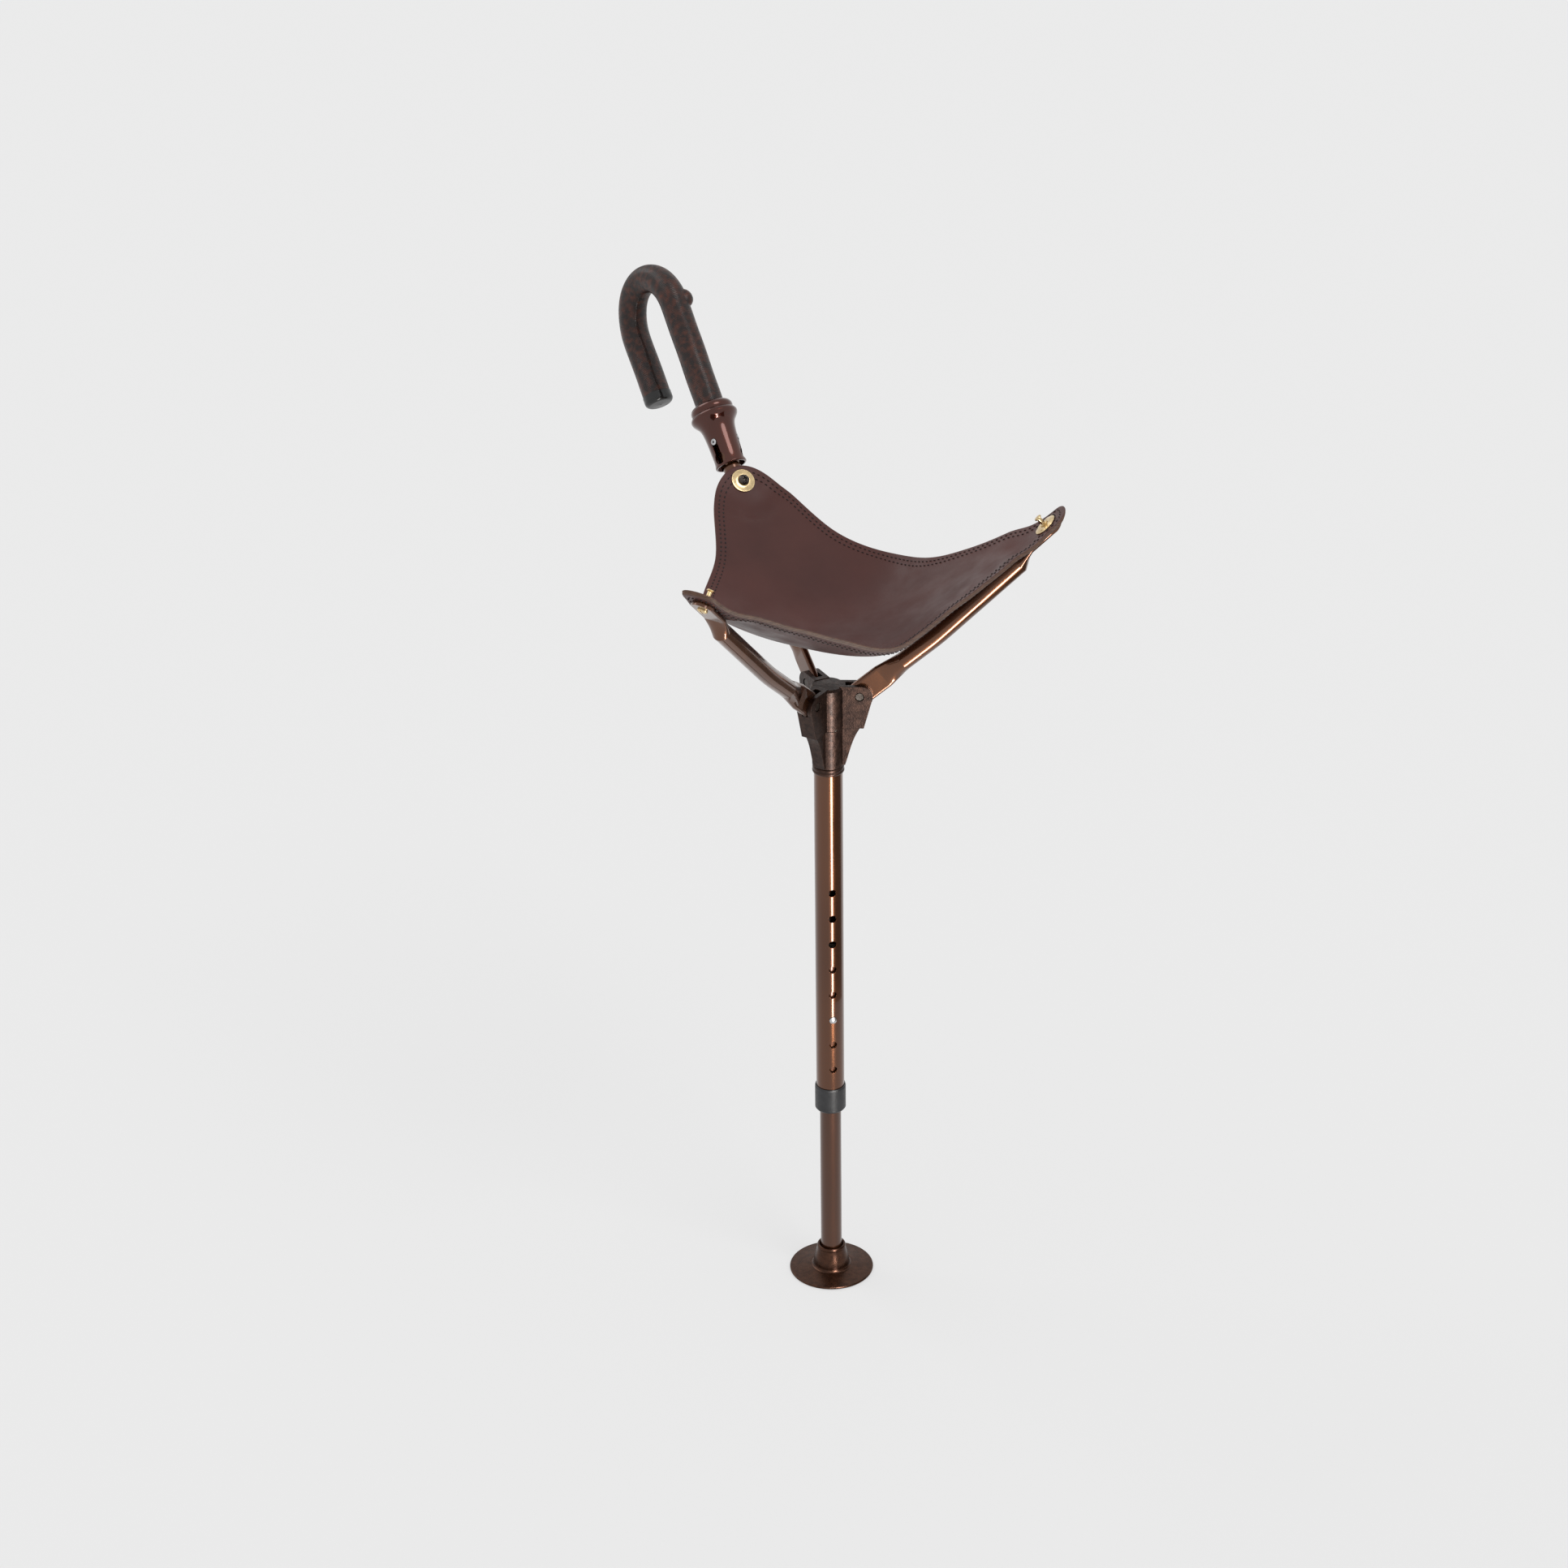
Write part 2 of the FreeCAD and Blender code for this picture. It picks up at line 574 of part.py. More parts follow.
def crook_end_cap():
    _, end, nose = crook_path(SOCKET_S)
    r = CROOK_R + 0.4
    edges = [
        Part.LineSegment(V(0, 0, 0.05), V(r, 0, 0.05)).toShape(),
        Part.LineSegment(V(r, 0, 0.05), V(r, 0, CAP_LEN - 3.6)).toShape(),
        Part.Arc(V(r, 0, CAP_LEN - 3.6), V(r - 1.3, 0, CAP_LEN - 1.1), V(r - 4.2, 0, CAP_LEN)).toShape(),
        Part.LineSegment(V(r - 4.2, 0, CAP_LEN), V(0, 0, CAP_LEN + 0.6)).toShape(),
        Part.LineSegment(V(0, 0, CAP_LEN + 0.6), V(0, 0, 0.05)).toShape(),
    ]
    cap = revolve(edges)
    cap.Placement = FreeCAD.Placement(end, FreeCAD.Rotation(Z, nose))
    return on_arm(cap, "handle")


def handle_arm_plug():
    low, high = LIP_S + 37, ARM_TOP_S - 0.2
    points = [(3.06, low), (6.0, low), (TUBE_R - WALL - 0.02, low + 0.8), (TUBE_R - WALL - 0.02, high)]
    points += [(3.06, high)]
    return on_arm(revolve(poly([V(r, 0, z) for r, z in points])), "handle")


def handle_tang():
    return on_arm(cyl(3.0, SOCKET_S + 34 - (LIP_S - 9), V(0, 0, LIP_S - 9)), "handle")


def tang_nut():
    points = [(3.03, LIP_S - 6), (5.2, LIP_S - 6), (6.2, LIP_S - 5), (6.2, LIP_S - 0.5), (3.03, LIP_S - 0.5)]
    return on_arm(revolve(poly([V(r, 0, z) for r, z in points])), "handle")


def handle_spring():
    low, high = LIP_S + 0.4, LIP_S + 36.0
    wire_r, coil_r, turns = 0.6, 4.6, 7
    pitch = (high - low - 2 * wire_r) / turns
    helix = Part.makeLongHelix(pitch, pitch * turns, coil_r)
    section = Part.Wire(Part.makeCircle(wire_r, V(coil_r, 0, 0), Y))
    coil = Part.Wire(helix.Edges).makePipeShell([section], True, True)
    coil.translate(V(0, 0, low + wire_r))
    return on_arm(coil, "handle")


def collar_guide_pins():
    """Tubular rivets in the arm that run in the collar's two slots."""
    pins = []
    for azimuth in (120, 240):
        rivet = cyl(2.2, 5.9, V(7.4, 0, GUIDE_S), X).fuse(cyl(2.7, 0.7, V(13.3, 0, GUIDE_S), X))
        rivet = rivet.fuse(cyl(2.0, 1.0, V(6.62, 0, GUIDE_S), X))
        rivet = rivet.cut(cyl(1.0, 4.0, V(11.0, 0, GUIDE_S), X))
        pins.append(on_arm(turned(rivet, azimuth), "handle"))
    return Part.makeCompound(pins)


def soft(t, width):
    return width * math.log1p(math.exp(max(-40.0, min(40.0, t / width))))


def ease(t):
    t = max(0.0, min(1.0, t))
    return t * t * t * (t * (6 * t - 15) + 10)


def hang_height(x, y):
    """Underside of the hung leather: a shallow dish that rises in a taut ridge to each tip."""
    z = 634.2
    tips = []
    for arm, (azimuth, _, _) in ARMS.items():
        a = math.radians(azimuth)
        u, v = x * math.cos(a) + y * math.sin(a), y * math.cos(a) - x * math.sin(a)
        if arm == "handle":
            z += 0.606 * soft(u - 18.4, 14.7)
            offset, s = TUBE_R + FIT, SCREW_S
        else:
            z += 0.727 * soft(u - 42.0, 18.9) + 0.0019 * ease((u - 40.0) / 90.0) * v * v
            offset, s = PLATE_TOP + FIT, STUD_S
        r0, z0, slope = arm_line(arm, offset)
        centre = r0 + (s - ARMS[arm][1]) * math.sin(math.radians(STOP_ANGLE - ARMS[arm][2]))
        tips.append((math.hypot(u - centre, v), z0 + slope * (u - r0)))
    for distance, plane in tips:
        w = ease((46.0 - distance) / 38.0)
        z = z * (1 - w) + w * plane
    return z


def hang_surface(thickness):
    """Interpolated sheet, raised so that its thickness square to the surface stays constant."""
    rows = []
    for i in range(43):
        row = []
        for j in range(46):
            x, y = -128 + i * 8.0, -188 + j * 8.0
            dx = (hang_height(x + 1, y) - hang_height(x - 1, y)) / 2
            dy = (hang_height(x, y + 1) - hang_height(x, y - 1)) / 2
            rise = thickness * math.sqrt(1 + dx * dx + dy * dy)
            row.append(V(x, y, hang_height(x, y) + rise))
        rows.append(row)
    surface = Part.BSplineSurface()
    surface.interpolate(rows)
    return surface.toShape()


def leather_outline():
    """Three-cornered blank seen from above, broad at the handle, its long edges drawn slightly inward."""
    tip = [(197.6, 0.0), (193.6, 14.6), (182.6, 17.7)]
    broad_tip = [(163.6, 0.0), (160.6, 14.0), (153.6, 25.3), (139.6, 35.2)]
    halves = {"handle": broad_tip, "right": tip, "left": tip}
    sides = [
        ("handle", "left", 180.0, 104.4, (-7.0, 0.0, -9.6)),
        ("left", "right", 300.0, 115.2, (-2.6, 0.0, -2.6)),
        ("right", "handle", 60.0, 104.4, (-9.6, 0.0, -7.0)),
    ]

    def corner_point(arm, u, v):
        return radial(ARMS[arm][0], u, 0) + radial(ARMS[arm][0] + 90, v, 0)

    points = []
    for start, end, azimuth, reach, nudges in sides:
        points += [corner_point(start, u, v) for u, v in halves[start]]
        arrive = [corner_point(end, u, -v) for u, v in halves[end][:0:-1]]
        first, last = points[-1], arrive[0]
        control = radial(azimuth, reach, 0) * 2 - (first + last) * 0.5
        for t, nudge in zip((0.25, 0.5, 0.75), nudges):
            p = first * (1 - t) ** 2 + control * (2 * t * (1 - t)) + last * t * t
            points.append(p + p * (nudge / p.Length))
        points += arrive
    curve = Part.BSplineCurve()
    curve.interpolate(points, PeriodicFlag=True)
    return Part.Wire(curve.toShape())


def leather_seat():
    blank = Part.Face(leather_outline())
    blank.translate(V(0, 0, 600))
    blank = blank.extrude(V(0, 0, 190))
    seat = blank.cut(hang_surface(LEATHER_T).extrude(V(0, 0, 300)))
    seat = seat.cut(hang_surface(0.0).extrude(V(0, 0, -300)))
    for arm in ARMS:
        s = SCREW_S if arm == "handle" else STUD_S
        seat = seat.cut(on_arm(cyl(2.6, 40, V(0, 0, s), -X), arm))
    return max(seat.Solids, key=lambda solid: solid.Volume)


def washer_offset(under):
    return under + FIT + LEATHER_T + FIT


def build():
    parts = {
        "foot_plate": foot_plate(),
        "ground_spike": ground_spike(),
        "spike_nut": spike_nut(),
        "inner_tube": inner_tube(),
        "inner_tube_bush": inner_tube_bush(),
        "snap_spring": snap_spring(),
        "snap_button": snap_button(),
        "outer_tube": outer_tube(),
        "tube_end_ring": tube_end_ring(),
        "hub_casting": hub_casting(),
        "hub_trim_ring": hub_trim_ring(),
        "hub_fixing_pin": hub_fixing_pin(),
        "arm_pivot_pins": arm_pivot_pins(),
        "leather_seat": leather_seat(),
        "handle_arm_tube": arm_tube("handle"),
        "handle_arm_plug": handle_arm_plug(),
        "collar_guide_pins": collar_guide_pins(),
        "handle_seat_washer": cup_washer(washer_offset(TUBE_R), "handle", SCREW_S, 1.95),
        "handle_seat_screw": seat_screw(),
        "locking_collar": locking_collar(),
        "crook_handle": crook_handle(),
        "crook_end_cap": crook_end_cap(),
        "handle_tang": handle_tang(),
        "tang_nut": tang_nut(),
        "handle_spring": handle_spring(),
    }
    for arm in ("right", "left"):
        parts[arm + "_arm_tube"] = arm_tube(arm)
        parts[arm + "_seat_washer"] = cup_washer(washer_offset(PLATE_TOP), arm, STUD_S, 2.55)
        parts[arm + "_lock_stud"] = lock_stud(arm)
        parts[arm + "_stud_screw"] = stud_screw(arm)
    return parts


os.makedirs("parts", exist_ok=True)
for name, shape in build().items():
    shape.exportStep("parts/" + name + ".step")
    print(name, shape.isValid(), len(shape.Solids), round(shape.Volume / 1000, 2))
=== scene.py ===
import json
import math

import bpy
import numpy as np
from mathutils import Matrix, Vector, geometry


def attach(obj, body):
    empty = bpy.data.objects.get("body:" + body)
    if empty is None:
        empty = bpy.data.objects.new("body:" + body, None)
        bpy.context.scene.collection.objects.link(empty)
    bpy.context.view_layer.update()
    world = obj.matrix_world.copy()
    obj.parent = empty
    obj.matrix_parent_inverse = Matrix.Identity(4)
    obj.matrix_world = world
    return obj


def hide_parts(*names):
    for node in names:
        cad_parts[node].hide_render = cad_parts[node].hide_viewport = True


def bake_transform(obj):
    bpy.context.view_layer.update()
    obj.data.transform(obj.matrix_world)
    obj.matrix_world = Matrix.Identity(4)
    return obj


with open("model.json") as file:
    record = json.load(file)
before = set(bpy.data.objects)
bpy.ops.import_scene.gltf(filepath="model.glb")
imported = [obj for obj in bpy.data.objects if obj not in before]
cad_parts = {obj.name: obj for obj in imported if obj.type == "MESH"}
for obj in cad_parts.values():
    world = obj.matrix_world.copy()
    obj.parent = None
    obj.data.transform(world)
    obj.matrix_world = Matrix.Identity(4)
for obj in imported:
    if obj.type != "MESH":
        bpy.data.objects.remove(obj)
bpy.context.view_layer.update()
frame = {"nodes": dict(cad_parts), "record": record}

# Walking stick seat in its opened pose. Metres, same frame as the solids: +Z up the stick,
# +X out along the right arm, origin under the centre of the foot disc.

# arms, open against their stop: azimuth, distance from the pin to the bend, bend angle
STOP_ANGLE = 50.0
PIN_RADIUS = 0.027
PIN_Z = 0.5825
ARMS = {
    "handle": (120.0, 0.080, 7.2),
    "right": (0.0, 0.085, 4.4),
    "left": (-120.0, 0.085, 4.4),
}

# leather: the surfaces it lies on, from an arm's centreline, and its fixings, along an arm from the pin
LEATHER_T = 0.0036
FIT = 0.0001
TUBE_TOP = 0.008
PLATE_TOP = 0.0065
SCREW_S = 0.188
STUD_S = 0.220

# hung dish: lowest height, and its rise to the handle and to the two other tips as slope, start and softness
DISH_Z = 0.6342
HANDLE_RISE = (0.606, 0.0184, 0.0147)
SIDE_RISE = (0.727, 0.042, 0.0189)
RIDGE_CURVE, RIDGE_START, RIDGE_RUN = 1.9, 0.040, 0.090
TIP_REACH = 0.046
TIP_EASE = 0.038
BROAD_WAVE = 0.00030
FINE_WAVE = 0.00018

# plan outline: points along and across an arm for half of each tip, then the long edges between two tips with
# their azimuth, the reach of their middle and how far three points on them are drawn in
POINTED_TIP = [(0.1976, 0.0), (0.1936, 0.0146), (0.1826, 0.0177)]
BROAD_TIP = [(0.1636, 0.0), (0.1606, 0.014), (0.1536, 0.0253), (0.1396, 0.0352)]
TIPS = {"handle": BROAD_TIP, "right": POINTED_TIP, "left": POINTED_TIP}
LONG_EDGES = [
    ("handle", "left", 180.0, 0.1044, (-0.0070, 0.0, -0.0096)),
    ("left", "right", 300.0, 0.1152, (-0.0026, 0.0, -0.0026)),
    ("right", "handle", 60.0, 0.1044, (-0.0096, 0.0, -0.0070)),
]

# sectors, one per arm, each from its border's azimuth to the next border
SECTORS = ("handle", "left", "right")
BORDERS = (60.0, 180.0, 300.0)

# mesh of the hide, with the least distance of a grid point to each fixed line as a share of the grid
GRID = 0.004
EDGE_GAP, BORDER_GAP, CENTRE_GAP = 0.6, 0.45, 0.5
HALF_SPAN = 0.22
EDGE_STEP = 0.0026
EDGE_PROFILE = [
    (0.0016, 0.0), (0.0009, 0.0001), (0.0004, 0.0004), (0.0001, 0.0009), (0.0, 0.0014), (0.00025, 0.0018),
    (0.0, 0.0022), (0.0001, 0.0027), (0.0004, 0.0032), (0.0009, 0.0035), (0.0016, LEATHER_T),
]

# stitching, its rows measured in from the cut edge
STITCH_ROWS = (0.0044, 0.0082)
STITCH_PITCH = 0.0042
STITCH_LEN = 0.0026
THREAD_R = 0.00062

# crook, measured along the handle arm from its pin
CROOK_START = 0.2573
CROOK_R = 0.0126
BEND_START_S = 0.3638
CROOK_BEND = 0.0382
CROOK_ARC = 181.2
CROOK_TWIST = 8.1
NOSE_LEN = 0.0532
RING_STEP = 0.0003
RING_POINTS = 56

# crook's surface, and the stub of its side shoot as a ball sunk into it
RIDGE_PITCH = 0.0012
RIDGE_HEIGHT = 0.00019
RIDGE_INSET = 0.00012
KNOT_AZ = -117.0
KNOT_R = 0.0082
KNOT_SINK = 0.0037

# camera
CAM_AZ = -88.0
CAM_DISTANCE = 3.0
CAM_HEIGHT = 2.0373
CAM_TILT = 27.19
CAM_LENS = 90.28
CAM_SENSOR = 36.0
CAM_ROLL = -0.38
CAM_SHIFT = -0.0283

# studio
BACKGROUND = 0.80
FLOOR_TONE = 0.80
FLAT_SHARE = 0.65
FLOOR_SIZE = 14.0
FLOOR_GAP = 0.0002

# lamps: azimuth, elevation, angular size, strength
SUNS = {
    "key": (-45.0, 50.0, 28.0, 0.75),
    "back_left": (150.0, 42.0, 35.0, 0.55),
}

# screens that only show as reflections: first and last azimuth, distance, height, tone, strength
SCREENS = {
    "front_strip": (-71.0, -58.0, 0.47, 0.62, (1.0, 0.97, 0.93), 26.0),
    "right_flag": (-56.0, 25.0, 0.50, 0.55, (0.9, 0.75, 0.65), 0.22),
}


# geometry helpers


def rotation(angle, axis):
    return Matrix.Rotation(math.radians(angle), 4, axis)


def radial(azimuth, distance, height=0.0):
    """Point at an azimuth and a distance from the stick's axis."""
    a = math.radians(azimuth)
    return Vector((distance * math.cos(a), distance * math.sin(a), height))


def arm_matrix(arm):
    """Local +Z runs along the tube past its bend, local -X faces the leather."""
    azimuth, bend_s, bend = ARMS[arm]
    bend_about = Matrix.Translation((0, 0, bend_s)) @ rotation(-bend, "Y")
    bend_about = bend_about @ Matrix.Translation((0, 0, -bend_s))
    pin = Matrix.Translation((PIN_RADIUS, 0, PIN_Z))
    return rotation(azimuth, "Z") @ pin @ rotation(STOP_ANGLE, "Y") @ bend_about


def new_object(name, points, faces, materials, face_materials=None, normals=None):
    mesh = bpy.data.meshes.new(name)
    mesh.from_pydata([tuple(p) for p in points], [], faces)
    for material in materials:
        mesh.materials.append(material)
    if face_materials is not None:
        mesh.polygons.foreach_set("material_index", face_materials)
    mesh.polygons.foreach_set("use_smooth", [True] * len(mesh.polygons))
    if normals is not None:
        mesh.normals_split_custom_set_from_vertices([tuple(n) for n in normals])
    obj = bpy.data.objects.new(name, mesh)
    bpy.context.scene.collection.objects.link(obj)
    return obj


# materials


# dark and light tone, roughness
ANODISED = {
    "tube_finish": ((0.082, 0.026, 0.008), (0.135, 0.047, 0.016), 0.22),
    "inner_tube_finish": ((0.060, 0.020, 0.008), (0.100, 0.036, 0.015), 0.34),
    "collar_finish": ((0.060, 0.011, 0.005), (0.105, 0.024, 0.010), 0.2),
}

# dark and light tone, roughness, fineness of the skin, its depth, rounding of edges
CASTINGS = {
    "hub_finish": ((0.020, 0.009, 0.006), (0.052, 0.026, 0.018), 0.4, 900, 0.00018, 0.0006),
    "foot_finish": ((0.040, 0.014, 0.006), (0.075, 0.029, 0.014), 0.26, 1300, 0.00003, 0.0004),
    "trim_finish": ((0.030, 0.013, 0.008), (0.062, 0.030, 0.020), 0.3, 1300, 0.00003, 0.0004),
}

# tone, roughness, clear coat
MOULDED = {
    "black_trim": ((0.011, 0.011, 0.013), 0.4),
    "cap_black": ((0.004, 0.0035, 0.0035), 0.2, 0.1),
    "bush_plastic": ((0.62, 0.61, 0.57), 0.5),
}

# tone, roughness, share of the tone where it is worn, rounding of edges
PLATED = {
    "bare_aluminium": ((0.72, 0.72, 0.73), 0.3, 0.8),
    "steel": ((0.60, 0.60, 0.61), 0.28, 0.7),
    "spring_steel": ((0.45, 0.45, 0.47), 0.25, 0.75),
    "dark_screw": ((0.10, 0.085, 0.075), 0.35, 0.6),
    "brass": ((0.80, 0.61, 0.34), 0.2, 0.75, 0.0003),
}


def finish(name, colour, roughness, metallic=0.0, coat=0.0, coat_roughness=0.05):
    """New material and its shader."""
    material = bpy.data.materials.new(name)
    material.use_nodes = True
    shader = material.node_tree.nodes["Principled BSDF"]
    shader.inputs["Base Color"].default_value = (*colour, 1.0)
    shader.inputs["Roughness"].default_value = roughness
    shader.inputs["Metallic"].default_value = metallic
    shader.inputs["Coat Weight"].default_value = coat
    shader.inputs["Coat Roughness"].default_value = coat_roughness
    return material, shader


def coordinates(material, stretch=(1.0, 1.0, 1.0)):
    """Object coordinates; a stretch below 1 draws a pattern out along that axis."""
    nodes, links = material.node_tree.nodes, material.node_tree.links
    source = nodes.new("ShaderNodeTexCoord")
    mapping = nodes.new("ShaderNodeMapping")
    mapping.inputs["Scale"].default_value = stretch
    links.new(source.outputs["Object"], mapping.inputs["Vector"])
    return mapping.outputs["Vector"]


def cloud(material, scale, detail, stretch=(1.0, 1.0, 1.0)):
    node = material.node_tree.nodes.new("ShaderNodeTexNoise")
    node.inputs["Scale"].default_value = scale
    node.inputs["Detail"].default_value = detail
    material.node_tree.links.new(coordinates(material, stretch), node.inputs["Vector"])
    return node.outputs["Fac"]


def cells(material, scale):
    node = material.node_tree.nodes.new("ShaderNodeTexVoronoi")
    node.feature = "SMOOTH_F1"
    node.inputs["Scale"].default_value = scale
    material.node_tree.links.new(coordinates(material), node.inputs["Vector"])
    return node.outputs["Distance"]


def tint(material, shader, factor, low, high, dark, light):
    """Base colour that runs from dark to light as the factor goes from low to high."""
    ramp = material.node_tree.nodes.new("ShaderNodeValToRGB")
    ramp.color_ramp.elements[0].position = low
    ramp.color_ramp.elements[1].position = high
    ramp.color_ramp.elements[0].color = (*dark, 1.0)
    ramp.color_ramp.elements[1].color = (*light, 1.0)
    material.node_tree.links.new(factor, ramp.inputs["Fac"])
    material.node_tree.links.new(ramp.outputs["Color"], shader.inputs["Base Color"])


def spread(material, shader, factor, low, high):
    """Roughness that runs from low to high over the middle of the factor's range."""
    node = material.node_tree.nodes.new("ShaderNodeMapRange")
    node.inputs["From Min"].default_value = 0.3
    node.inputs["From Max"].default_value = 0.7
    node.inputs["To Min"].default_value = low
    node.inputs["To Max"].default_value = high
    material.node_tree.links.new(factor, node.inputs["Value"])
    material.node_tree.links.new(node.outputs["Result"], shader.inputs["Roughness"])


def relief(material, shader, layers, rounding=0.0):
    """Bump layers, each a height, a depth in metres and a strength, over edges rounded by a small radius."""
    nodes, links = material.node_tree.nodes, material.node_tree.links
    normal = None
    if rounding:
        bevel = nodes.new("ShaderNodeBevel")
        bevel.samples = 4
        bevel.inputs["Radius"].default_value = rounding
        normal = bevel.outputs["Normal"]
    for height, depth, strength in layers:
        bump = nodes.new("ShaderNodeBump")
        bump.inputs["Distance"].default_value = depth
        bump.inputs["Strength"].default_value = strength
        links.new(height, bump.inputs["Height"])
        if normal is not None:
            links.new(normal, bump.inputs["Normal"])
        normal = bump.outputs["Normal"]
    links.new(normal, shader.inputs["Normal"])


def anodised(name, dark, light, roughness):
    """Dyed, sealed aluminium: tinted metal under a clear film, with faint draw lines and handling marks."""
    material, shader = finish(name, light, roughness, metallic=0.85, coat=0.8, coat_roughness=0.04)
    tint(material, shader, cloud(material, 14.0, 2.0, (1, 1, 0.3)), 0.3, 0.7, dark, light)
    spread(material, shader, cloud(material, 90.0, 5.0, (1, 1, 0.15)), roughness * 0.8, roughness * 1.25)
    relief(material, shader, [(cloud(material, 500.0, 3.0, (1, 1, 0.06)), 0.00002, 0.25)], 0.0002)
    return material


def coated_casting(name, dark, light, roughness, lump, depth, rounding):
    """Coated cast metal: a fine hammered skin whose edges catch the light."""
    material, shader = finish(name, light, roughness, metallic=0.8, coat=0.12, coat_roughness=0.22)
    tint(material, shader, cloud(material, 220.0, 4.0), 0.35, 0.7, dark, light)
    spread(material, shader, cloud(material, 400.0, 3.0), roughness * 0.8, roughness * 1.3)
    layers = [
        (cells(material, lump), depth, 0.7),
        (cloud(material, lump * 2.2, 3.0), depth * 0.5, 0.5),
    ]
    relief(material, shader, layers, rounding)
    return material


def plated(name, colour, roughness, wear, rounding=0.00015):
    """Bare or plated metal with fine wear in its gloss."""
    material, shader = finish(name, colour, roughness, metallic=1.0)
    dull = tuple(c * wear for c in colour)
    tint(material, shader, cloud(material, 260.0, 5.0), 0.35, 0.62, dull, colour)
    spread(material, shader, cloud(material, 700.0, 4.0), roughness * 0.7, roughness * 1.4)
    relief(material, shader, [(cloud(material, 1400.0, 3.0), 0.00002, 0.3)], rounding)
    return material


def moulded(name, colour, roughness, coat=0.0):
    """Moulded plastic, slightly paler where it is scuffed."""
    material, shader = finish(name, colour, roughness, coat=coat)
    paler = tuple(c * 1.5 + 0.004 for c in colour)
    tint(material, shader, cloud(material, 120.0, 4.0), 0.4, 0.8, colour, paler)
    spread(material, shader, cloud(material, 600.0, 4.0), roughness * 0.8, roughness * 1.3)
    relief(material, shader, [(cloud(material, 1800.0, 3.0), 0.00002, 0.3)], 0.0002)
    return material


def saddle_leather():
    """Waxed dark hide: soft mottling, fine grain and a few long creases."""
    material, shader = finish("saddle_leather", (0.06, 0.017, 0.012), 0.45)
    shader.inputs["Specular IOR Level"].default_value = 0.34
    dark, light = (0.048, 0.0125, 0.0095), (0.080, 0.0215, 0.0165)
    tint(material, shader, cloud(material, 11.0, 6.0), 0.28, 0.75, dark, light)
    spread(material, shader, cloud(material, 60.0, 6.0), 0.36, 0.54)
    layers = [
        (cells(material, 1100.0), 0.00008, 0.35),
        (cloud(material, 2400.0, 3.0), 0.00005, 0.25),
        (cloud(material, 26.0, 4.0, (1, 1, 0.4)), 0.0006, 0.25),
    ]
    relief(material, shader, layers)
    return material


def leather_edge():
    """Cut edge: paler raw fibre with darker burnished streaks along the plies."""
    material, shader = finish("leather_edge", (0.10, 0.045, 0.025), 0.7)
    dark, light = (0.055, 0.022, 0.012), (0.13, 0.062, 0.034)
    tint(material, shader, cloud(material, 300.0, 5.0, (0.5, 0.5, 3.0)), 0.3, 0.7, dark, light)
    relief(material, shader, [(cloud(material, 1500.0, 4.0), 0.0001, 0.5)])
    return material


def waxed_thread():
    material, shader = finish("waxed_thread", (0.014, 0.005, 0.005), 0.7)
    dark, light = (0.008, 0.003, 0.003), (0.026, 0.009, 0.008)
    tint(material, shader, cloud(material, 900.0, 2.0), 0.35, 0.7, dark, light)
    relief(material, shader, [(cloud(material, 4000.0, 2.0), 0.0001, 0.5)])
    return material


def crook_wood():
    """Stained ringed cane under varnish: dark body of random stain tone, scattered with lighter reddish
    speckles that are painted glints.
    """
    material, shader = finish("crook_wood", (0.03, 0.012, 0.007), 0.42, coat=0.25, coat_roughness=0.1)
    shader.inputs["Specular IOR Level"].default_value = 0.3
    # painted glints: the light end of this tint is reddish speckles standing in for highlights on the dark
    # stain
    dark, light = (0.010, 0.0035, 0.0025), (0.085, 0.019, 0.007)
    tint(material, shader, cloud(material, 190.0, 6.0), 0.42, 0.80, dark, light)
    spread(material, shader, cloud(material, 500.0, 5.0), 0.28, 0.55)
    layers = [(cloud(material, 1300.0, 4.0), 0.00015, 0.5), (cloud(material, 240.0, 5.0), 0.0003, 0.35)]
    relief(material, shader, layers)
    return material


def make_finishes():
    """Finishes of the solids by name."""
    families = ((anodised, ANODISED), (coated_casting, CASTINGS), (moulded, MOULDED), (plated, PLATED))
    return {name: family(name, *values) for family, table in families for name, values in table.items()}


def dress_solids(finishes):
    """Gives every solid the finish of its record slot, or its own where the photograph shows another tone."""
    slots = {part["node"]: part["material_slot"] for part in frame["record"]["subparts"]}
    own = {
        "inner_tube": "inner_tube_finish",
        "arm_pivot_pins": "dark_screw",
        "hub_fixing_pin": "dark_screw",
        "hub_trim_ring": "trim_finish",
    }
    for name, node in frame["nodes"].items():
        chosen = finishes.get(own.get(name, slots[name]))
        if chosen is not None:
            node.data.materials.clear()
            node.data.materials.append(chosen)


# leather seat


def soft(t, width):
    """0 below zero and t above it, with a rounded bend as wide as given."""
    return width * np.log1p(np.exp(np.clip(t / width, -40.0, 40.0)))


def ease(t):
    """Smooth step from 0 at 0 to 1 at 1."""
    t = np.clip(t, 0.0, 1.0)
    return t * t * t * (t * (6 * t - 15) + 10)


def arm_line(arm, offset):
    """Radius and height of one point, and the slope, of a line offset toward the leather from an arm."""
    _, bend_s, bend = ARMS[arm]
    low, high = math.radians(STOP_ANGLE), math.radians(STOP_ANGLE - bend)
    r0 = PIN_RADIUS + bend_s * math.sin(low) - offset * math.cos(high)
    z0 = PIN_Z + bend_s * math.cos(low) + offset * math.sin(high)
    return r0, z0, 1.0 / math.tan(high)


def ripple(x, y):
    """Slight unevenness of the hide."""
    broad = BROAD_WAVE * np.sin(71.0 * x + 1.1) * np.sin(63.0 * y - 0.4)
    return broad + FINE_WAVE * np.sin(148.0 * x + 117.0 * y)


